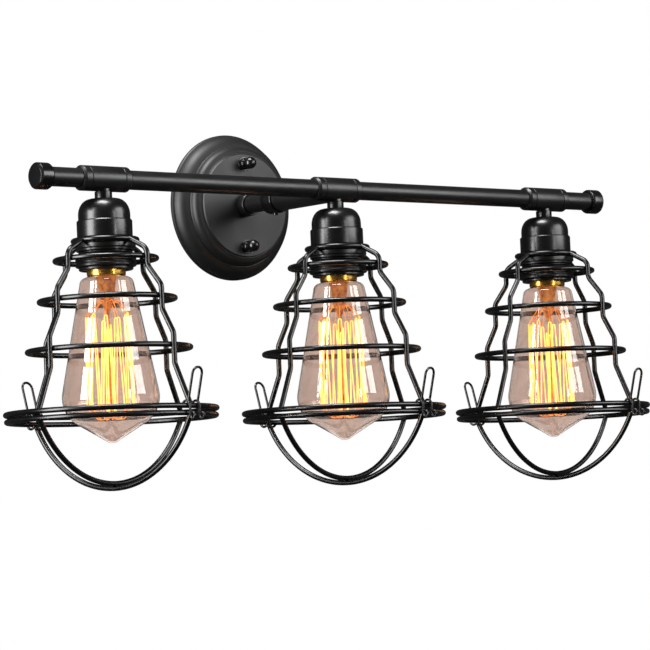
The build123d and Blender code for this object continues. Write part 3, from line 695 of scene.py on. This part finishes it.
def build_sockets(context):
    """Neck, domed cap, skirt, lamp holder and its two ring nuts on each head."""
    for side in SIDES:
        origin = head_origin(side)
        first = side == "left"
        neck = [(3.8, -6), (5, -6), (5, -8.55), (5.8, -8.55), (5.8, CAP_TOP), (5, CAP_TOP)]
        neck += [(5, -19.2), (3.8, -19.2)]
        piece = turned_piece(f"{side}_neck", [neck], origin, "Z", 48, 0.2)
        keep(piece, ROOT, "gloss_enamel", "black_steel", *(["nipples"] if first else []))

        bore = 5.1
        dome = [(bore, CAP_TOP), (CAP_CROWN, CAP_TOP)]
        for step in range(1, 13):
            polar = radians(90) * step / 12
            out = CAP_CROWN + (CAP_RADIUS - CAP_CROWN) * sin(polar) ** 0.9
            dome.append((out, CAP_SPRING + (CAP_TOP - CAP_SPRING) * cos(polar)))
        dome += [(CAP_RADIUS, CAP_FOOT)]
        inner = [(max(r - CAP_WALL, bore), h - CAP_WALL) for r, h in reversed(dome[1:-1])]
        dome += [(CAP_RADIUS - CAP_WALL, CAP_FOOT), *inner, (bore, CAP_TOP - CAP_WALL)]
        piece = turned_piece(f"{side}_dome", [dome], origin, "Z", 96)
        keep(piece, ROOT, "gloss_enamel", "gloss_black", f"{side}_socket_cap")

        skirt = [(17.35, -27.6), (17.9, -27.6), (18.45, -28.3), (18.45, -38.7)]
        skirt += [(18.2, SKIRT_FOOT), (17.35, SKIRT_FOOT)]
        piece = turned_piece(f"{side}_skirt", [skirt], origin, "Z", 96, 0.25)
        keep(piece, ROOT, "gloss_enamel", "gloss_black", f"{side}_socket_shell")

        holder = [(0, -30.2), (17.25, -30.2), (17.25, SKIRT_FOOT), (18.9, SKIRT_FOOT), (18.9, -41.4)]
        holder += thread_outline(18.0, 17.3, -41.4, -59.2, 2.2)
        holder += [(18.05, -59.4), (18.05, -60.4), (17.5, HOLDER_FOOT), (15.6, HOLDER_FOOT), (14.0, -58.0)]
        holder += [(14.0, -37.5), (12.0, -37.5), (12.0, -33.2), (0, -33.2)]
        piece = turned_piece(f"{side}_holder", [holder], origin, "Z", 96)
        keep(piece, ROOT, "moulded_phenolic", "phenolic", f"{side}_lampholder")

        upper = [(18.1, -43.2), (19.8, -43.2), (20.2, -43.6), (20.2, -46.2)]
        upper += [(19.3, -46.8), (19.3, -48.2), (18.1, -48.2)]
        lower = [(18.1, -52.2), (19.8, -52.2), (20.2, -52.6), (20.2, -54.3), (19.3, -54.9), (19.3, -56.1)]
        lower += [(20.2, -56.7), (20.2, -58.2), (19.6, -58.8), (18.1, -58.8)]
        piece = turned_piece(f"{side}_ring_nuts", [upper, lower], origin, "Z", 96, 0.22)
        keep(piece, ROOT, "moulded_phenolic", "phenolic", *(["ring_nuts"] if first else []))


# ---- Cages --------------------------------------------------------------------------
# Each hoop: height, radius, and how far a rib runs straight above and below it, mm.
HOOPS = ((-53.8, 33.45, 4.8, 6.7), (-80.6, 44.75, 6.6, 9.4), (-113.5, 53.75, 7.5, 12.5))
# Rings by radius and height, mm.
COLLAR_RING = (21.0, -41.2)
RIM = (69.45, -154.3)
LOWER_RIM = (68.9, -159.0)
GUARD_BOTTOM = -206.7
CLIP_HALF = 4.6
HANDLE_HEIGHT = 22.5
HANDLE_LEAN = radians(14)
HOOK_SWEEP = radians(185)
CURL_SWEEP = radians(270)
LATCH_CURL = 1.9
HANDLE_FOOT = radians(55)
LATCH_PLAY = 0.45  # the latch clip stands this far outside the rim


def rib_line(sizes):
    """A rib: straight past each hoop, sloping between them, down on to the rim."""
    line = [COLLAR_RING]
    for height, radius, above, below in HOOPS:
        out = radius + (sizes.hoop + sizes.rib - sizes.weld) / MM
        line += [(out, height + above), (out, height - below)]
    line.append((RIM[0] - 0.4, RIM[1] + 0.8))
    return rounded([(*p, 0) for p in line], sizes.bend / MM, 10)


def guard_arc(dip, count=48):
    """Arc in a radial plane from rim to rim through the lowest point."""
    half, top = LOWER_RIM[0] - 0.3, LOWER_RIM[1] - 0.8
    drop = top - dip
    radius = (half * half + drop * drop) / (2 * drop)
    sweep = asin(half / radius)
    centre = dip + radius
    angles = [-sweep + 2 * sweep * k / count for k in range(count + 1)]
    return [(radius * sin(a), centre - radius * cos(a)) for a in angles]


def clip_wires(origin, azimuth, hook, is_latch, radius):
    """Lines of a spring clip: two hooks over the rim and a hairpin handle."""
    wires = []
    outside = RIM[0] + hook
    for shift in (-CLIP_HALF, CLIP_HALF):
        line = []
        for step in range(17):
            around = HOOK_SWEEP * (1 - step / 16)
            line.append((RIM[0] + hook * cos(around), RIM[1] + hook * sin(around)))
        if is_latch:
            low, curl = LOWER_RIM[1] - LATCH_CURL, LATCH_CURL
            centre = (outside + curl, low)
            arc = [pi + CURL_SWEEP * k / 20 for k in range(21)]
        else:
            low, curl = LOWER_RIM[1], hook + RIM[0] - LOWER_RIM[0]
            centre = (outside - curl, low)
            arc = [-pi * k / 16 for k in range(17)]
        line += [(outside, RIM[1] + (low - RIM[1]) * t) for t in (0.33, 0.67)]
        line += [(centre[0] + curl * cos(a), centre[1] + curl * sin(a)) for a in arc]
        wires.append((radial_line(origin, azimuth, line, shift), radius, False))
    base = (RIM[0] + hook * cos(HANDLE_FOOT), RIM[1] + hook * sin(HANDLE_FOOT))
    corners = ((-CLIP_HALF, 0), (-CLIP_HALF, HANDLE_HEIGHT), (CLIP_HALF, HANDLE_HEIGHT), (CLIP_HALF, 0))
    shape = [(*corner, 0) for corner in corners]
    handle = []
    for side, up, _ in rounded(shape, CLIP_HALF - 0.2, 10):
        out, rise = base[0] + up * sin(HANDLE_LEAN), base[1] + up * cos(HANDLE_LEAN)
        handle.append(radial_point(origin, azimuth, out, rise, side))
    wires.append((handle, radius, False))
    return wires


def build_cages(context):
    """Cage, collar plate, hinged guard and the two clips of each head."""
    sizes = context.scene.vanity_wires
    rib, hoop = sizes.rib, sizes.hoop
    azimuths = [sizes.turn + quarter * pi / 2 for quarter in range(4)]
    hinge, latch = sizes.turn + pi / 2, sizes.turn - pi / 2
    for side in SIDES:
        origin = head_origin(side)
        wires = [(hoop_line(origin, radius, height), hoop, True) for height, radius, _, _ in HOOPS]
        wires.append((hoop_line(origin, *RIM, count=160), hoop, True))
        wires.append((hoop_line(origin, *COLLAR_RING), hoop, True))
        wires += [(radial_line(origin, a, rib_line(sizes)), rib, False) for a in azimuths]
        cage = wire_piece(f"{side}_cage_wires", wires, "wire_lacquer")
        keep(cage, ROOT, "wire_lacquer", "wire_black", f"{side}_cage")
        plate = [(18.15, -41.4), (21, -41.4), (21, -43.2), (18.15, -43.2)]
        collar = turned_piece(f"{side}_cage_plate", [plate], origin, "Z", 72, 0.2)
        keep(collar, ROOT, "wire_lacquer", "wire_black")

        lowest = GUARD_BOTTOM + hoop / MM
        crossing = lowest + (hoop + rib - sizes.weld) / MM
        wires = [(hoop_line(origin, *LOWER_RIM, count=160), hoop, True)]
        wires.append((radial_line(origin, hinge, guard_arc(lowest)), rib, False))
        wires.append((radial_line(origin, sizes.turn, guard_arc(crossing)), rib, False))
        guard = wire_piece(f"{side}_guard_wires", wires, "wire_lacquer")
        keep(guard, f"{side}_guard", "wire_lacquer", "wire_black", f"{side}_guard")

        grip = (hoop + sizes.clip) / MM - 0.1
        free = (hoop + sizes.clip) / MM + LATCH_PLAY
        wires = clip_wires(origin, hinge, grip, False, sizes.clip)
        clip = wire_piece(f"{side}_hinge_spring", wires, "wire_lacquer", 12)
        keep(clip, ROOT, "wire_lacquer", "wire_black", *(["hinge_clips"] if side == "left" else []))
        wires = clip_wires(origin, latch, free, True, sizes.clip)
        clip = wire_piece(f"{side}_latch_spring", wires, "wire_lacquer", 12)
        keep(clip, f"{side}_latch", "wire_lacquer", "wire_black", f"{side}_latch_clip")


# ---- Lamps --------------------------------------------------------------------------
FILAMENT_RING = 15.8  # sizes of the filament and the glass in mm
FILAMENT_TOP, FILAMENT_FOOT = -90.0, -151.5
CORE_RING = 3.0
STRAND_HALF = 0.9
HOOK_WIRE = 0.28 * MM
GLASS_TOP, GLASS_TIP = -58.6, -174.8
GLASS_WALL = 0.8
BASE_FOOT = -64.4
THREAD_PITCH = 3.63


def glass_outline(inset):
    """Half section of the lamp's glass from neck to pip, shrunk by inset."""
    line = [
        (12.3 - inset, GLASS_TOP, 0),
        (12.3 - inset, -64.7, 0),
        (17.4 - inset, -66.6, 0),
        (34.6 - inset, -155.0, 0),
        (9.6 - inset, -170.2 + inset, 0),
        (2.2 - inset / 2, GLASS_TIP + inset, 0),
        (0, GLASS_TIP + inset, 0),
    ]
    return [(p[0], p[1]) for p in rounded(line, [0, 0.5, 5, 22, 5, 4, 0], 16)]


def hung_height(top, anchor):
    """Height of an upper hairpin; they hang unevenly, three by three."""
    return top - 1.6 * (anchor % 3)


def held_height(foot, anchor):
    """Height of a lower hairpin; every other one is held higher."""
    return foot + 1.2 * (anchor % 2)


def strand_loop(origin, legs, ring, top, foot):
    """Closed filament line: upright legs joined by narrow hairpins, sizes in mm."""
    line = []
    anchors = legs // 2
    spread = STRAND_HALF / ring
    for anchor in range(anchors):
        above = 2 * pi * anchor / anchors
        below = above + pi / anchors
        high, low = hung_height(top, anchor), held_height(foot, anchor)
        line.append(radial_point(origin, above - spread, ring - 1, high))
        line.append(radial_point(origin, above + spread, ring - 1, high))
        line.append(radial_point(origin, below - spread, ring, low))
        line.append(radial_point(origin, below + spread, ring, low))
    return rounded(line, STRAND_HALF * 0.9 * MM, 4, closed=True)


def strand_lines(origin, sizes):
    """Glowing strands of the outer ring and the core, and the hooks that hold them."""
    ring = strand_loop(origin, sizes.strands, FILAMENT_RING, FILAMENT_TOP, FILAMENT_FOOT)
    core = strand_loop(origin, 6, CORE_RING, -97.0, -156.0)
    strands = [(ring, sizes.filament, True), (core, sizes.filament, True)]
    hooks = []
    anchors = sizes.strands // 2
    for anchor in range(anchors):
        above = 2 * pi * anchor / anchors
        end = (FILAMENT_RING - 1, hung_height(FILAMENT_TOP, anchor) + 0.4, 0)
        line = rounded([(1.3, -82, 0), (7.5, -80.5 - 2 * (anchor % 2), 0), end], 3, 5)
        hooks.append((radial_line(origin, above, line), HOOK_WIRE, False))
        end = (FILAMENT_RING, held_height(FILAMENT_FOOT, anchor) - 0.4, 0)
        line = rounded([(1.2, -158, 0), (8, -160.5, 0), end], 4, 5)
        hooks.append((radial_line(origin, above + pi / anchors, line), HOOK_WIRE, False))
    return strands, hooks


def build_lamps(context):
    """Glass, threaded base, stem, strands and hooks of each lamp."""
    sizes = context.scene.vanity_wires
    for side in SIDES:
        origin = head_origin(side)
        body = f"{side}_bulb"
        shell = glass_outline(0) + list(reversed(glass_outline(GLASS_WALL)))
        glass = turned_piece(f"{side}_lamp_glass", [shell], origin, "Z", 128)
        keep(glass, body, "lamp_glass", "tinted_glass", f"{side}_bulb_glass")

        base = [(5.3, -37.2), (6.8, -37.4), (12.2, -40.0)]
        base += thread_outline(13.05, 12.35, -40.2, -58.35, THREAD_PITCH)[1:]
        base += [(12.95, -58.9), (12.95, -63.2), (12.75, BASE_FOOT), (12.35, BASE_FOOT), (12.35, -58.2)]
        base += [(11.85, -58.0), (11.85, -40.8), (5.3, -38.4)]
        brass = turned_piece(f"{side}_lamp_base", [base], origin, "Z", 96)
        keep(brass, body, "rolled_brass", "lamp_brass", f"{side}_bulb_base")

        stem = [(0, -59.6), (9.8, -59.6), (9.0, -62), (6.2, -68), (5.4, -74), (4.4, -81), (2.4, -86)]
        stem += [(1.0, -90), (0.8, -120), (0.8, -156), (1.6, -157), (1.6, -158.4), (0, -159)]
        piece = turned_piece(f"{side}_lamp_stem", [stem], origin, "Z", 40)
        keep(piece, body, "stem_glass", "filament")
        strands, hooks = strand_lines(origin, sizes)
        piece = wire_piece(f"{side}_lamp_strands", strands, "glowing_filament", 8)
        keep(piece, body, "glowing_filament", "filament", f"{side}_bulb_filament")
        piece = wire_piece(f"{side}_lamp_hooks", hooks, "glow_painted_molybdenum", 6)
        keep(piece, body, "glow_painted_molybdenum", "filament")


# ---- Pieces that the frame already has right ----------------------------------------
# Inside the fixture the frame's own shapes stay, each with the finish named here.
HIDDEN_FINISHES = {
    "wall_bracket": "zinc_plate",
    "mounting_studs": "zinc_plate",
    "lock_nuts": "zinc_plate",
    "ground_screw": "green_plate",
    "wire_connectors": "connector_plastic",
    "collar_set_screw": "gloss_enamel",
    "screw_shells": "nickel_plate",
    "centre_contacts": "nickel_plate",
    **{f"{side}_leads": "lead_insulation" for side in SIDES},
    **{f"{side}_bulb_contact": "zinc_plate" for side in SIDES},
}


def finish_hidden_parts(context):
    """Give the frame's own meshes their finishes."""
    for node, name in HIDDEN_FINISHES.items():
        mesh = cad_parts[node].data
        mesh.materials.clear()
        mesh.materials.append(finish(name))


# ---- Stage --------------------------------------------------------------------------
def add_light(name, place, target, size, power):
    """Soft rectangular light that faces a target."""
    data = bpy.data.lights.new(name, "AREA")
    data.shape = "RECTANGLE"
    data.size, data.size_y = size
    data.energy = power
    light = bpy.data.objects.new(name, data)
    light.location = place
    light.rotation_euler = (Vector(target) - Vector(place)).to_track_quat("-Z", "Y").to_euler()
    bpy.context.scene.collection.objects.link(light)


def build_studio(scene):
    """White backdrop that is seen in full, also through glass, but lights the piece softly."""
    world = bpy.data.worlds.new("studio")
    world.use_nodes = True
    scene.world = world
    tree = world.node_tree
    path = add_node(tree, "ShaderNodeLightPath")
    seen = add_node(
        tree,
        "ShaderNodeMath",
        {0: path.outputs["Is Camera Ray"], 1: path.outputs["Is Transmission Ray"]},
        operation="MAXIMUM",
    )
    dim_and_full = {"Value": seen.outputs["Value"], "To Min": 0.05, "To Max": 1.0}
    strength = add_node(tree, "ShaderNodeMapRange", dim_and_full)
    background = tree.nodes["Background"]
    background.inputs["Color"].default_value = linear("#ffffff")
    tree.links.new(strength.outputs["Result"], background.inputs["Strength"])
    target = BAR_CENTRE + Vector((0, 0, -0.09))
    add_light("overhead", (-0.5, -0.3, 1.7), target, (1.1, 0.6), 60)
    add_light("left_strip", (-1.95, 0.1, 0.1), target, (0.9, 1.8), 76)
    add_light("front_strip", (0.2, -2.3, 0.0), target, (0.16, 1.2), 9)
    add_light("front_right", (1.2, -1.95, 0.6), target, (1.5, 1.1), 38)


FLOOR_HALF = 3.0


def build_stage(context):
    """Camera, floor and studio."""
    stage = context.scene.vanity_stage
    yaw, pitch, roll = stage.yaw, stage.pitch, stage.roll
    look = Vector((sin(yaw) * cos(pitch), cos(yaw) * cos(pitch), sin(pitch)))
    right = Vector((cos(yaw), -sin(yaw), 0))
    up = right.cross(look)
    right, up = cos(roll) * right + sin(roll) * up, cos(roll) * up - sin(roll) * right
    data = bpy.data.cameras.new("camera")
    data.lens = stage.lens
    data.sensor_width = 36.0
    data.clip_end = 50.0
    camera = bpy.data.objects.new("camera", data)
    place = BAR_CENTRE + Vector((-stage.back, -stage.away, -stage.below))
    turn = Matrix((right, up, -look)).transposed().to_4x4()
    camera.matrix_world = Matrix.Translation(place) @ turn
    context.scene.collection.objects.link(camera)
    context.scene.camera = camera

    bm = bmesh.new()
    height = BAR_CENTRE.z - stage.floor
    for x, y in ((-1, -1), (1, -1), (1, 1), (-1, 1)):
        bm.verts.new((x * FLOOR_HALF, y * FLOOR_HALF, height))
    bm.faces.new(bm.verts)
    mesh = bpy.data.meshes.new("floor")
    bm.to_mesh(mesh)
    bm.free()
    floor = bpy.data.objects.new("floor", mesh)
    context.scene.collection.objects.link(floor)
    # The floor is seen by the camera, but throws no light and no reflection on the piece.
    material, tree, principled = new_material(
        "pale_floor", Roughness=0.9, Emission_Color=linear("#ffffff"), Emission_Strength=0.6
    )
    cloud = object_noise(tree, 400.0)
    tint = mottle(tree, cloud, linear("#f1f0ee"), linear("#f8f7f6"))
    tree.links.new(tint, principled.inputs["Base Color"])
    mesh.materials.append(material)
    floor.visible_glossy = False
    floor.visible_diffuse = False

    context.scene.view_settings.view_transform = "Standard"
    build_studio(context.scene)


# ---- Operators, panel and registration ----------------------------------------------
class VANITY_OT_stage(bpy.types.Operator):
    """Camera, floor, studio light and backdrop"""

    bl_idname = "vanity.stage"
    bl_label = "Stage"

    def execute(self, context):
        build_stage(context)
        return {"FINISHED"}


class VANITY_OT_canopy(bpy.types.Operator):
    """Two-tier canopy with its washers and cap nuts"""

    bl_idname = "vanity.canopy"
    bl_label = "Canopy"

    def execute(self, context):
        build_canopy(context)
        return {"FINISHED"}


class VANITY_OT_arm(bpy.types.Operator):
    """Arm pipe with its collars and sleeve"""

    bl_idname = "vanity.arm"
    bl_label = "Arm"

    def execute(self, context):
        build_arm(context)
        return {"FINISHED"}


class VANITY_OT_bar(bpy.types.Operator):
    """Bar pipes, couplers and end caps"""

    bl_idname = "vanity.bar"
    bl_label = "Bar"

    def execute(self, context):
        build_bar(context)
        return {"FINISHED"}


class VANITY_OT_sockets(bpy.types.Operator):
    """Necks, domed sockets, lamp holders and ring nuts"""

    bl_idname = "vanity.sockets"
    bl_label = "Sockets"

    def execute(self, context):
        build_sockets(context)
        return {"FINISHED"}


class VANITY_OT_cages(bpy.types.Operator):
    """Wire cages, hinged guards and spring clips"""

    bl_idname = "vanity.cages"
    bl_label = "Cages"

    def execute(self, context):
        build_cages(context)
        return {"FINISHED"}


class VANITY_OT_lamps(bpy.types.Operator):
    """Glass, brass base, stem and glowing filament of each lamp"""

    bl_idname = "vanity.lamps"
    bl_label = "Lamps"

    def execute(self, context):
        build_lamps(context)
        return {"FINISHED"}


class VANITY_OT_inner_parts(bpy.types.Operator):
    """Finishes of the parts hidden inside the fixture"""

    bl_idname = "vanity.inner_parts"
    bl_label = "Inner parts"

    def execute(self, context):
        finish_hidden_parts(context)
        return {"FINISHED"}


class VANITY_PT_panel(bpy.types.Panel):
    """Sizes, finishes and pieces of the vanity light"""

    bl_idname = "VANITY_PT_panel"
    bl_label = "Vanity light bar"
    bl_space_type = "VIEW_3D"
    bl_region_type = "UI"
    bl_category = "Vanity Light"

    def draw(self, context):
        scene = context.scene
        for settings in (scene.vanity_wires, scene.vanity_finishes, scene.vanity_stage):
            box = self.layout.box()
            for name in settings.bl_rna.properties.keys():
                if name not in ("rna_type", "name"):
                    box.prop(settings, name)
        for operator in OPERATORS:
            self.layout.operator(operator.bl_idname)


OPERATORS = (
    VANITY_OT_stage,
    VANITY_OT_canopy,
    VANITY_OT_arm,
    VANITY_OT_bar,
    VANITY_OT_sockets,
    VANITY_OT_cages,
    VANITY_OT_lamps,
    VANITY_OT_inner_parts,
)
CLASSES = (VanityWireSizes, VanityFinishes, VanityStage, *OPERATORS, VANITY_PT_panel)
SETTINGS = {
    "vanity_wires": VanityWireSizes,
    "vanity_finishes": VanityFinishes,
    "vanity_stage": VanityStage,
}


def register():
    """Register the classes and hang their settings on the scene."""
    for cls in CLASSES:
        bpy.utils.register_class(cls)
    for name, group in SETTINGS.items():
        setattr(bpy.types.Scene, name, PointerProperty(type=group))


def unregister():
    """Take both away again."""
    for name in SETTINGS:
        delattr(bpy.types.Scene, name)
    for cls in reversed(CLASSES):
        bpy.utils.unregister_class(cls)


def main():
    """Build every piece."""
    register()
    for operator in OPERATORS:
        getattr(bpy.ops.vanity, operator.bl_idname.split(".")[1])()


if __name__ == "__main__":
    main()
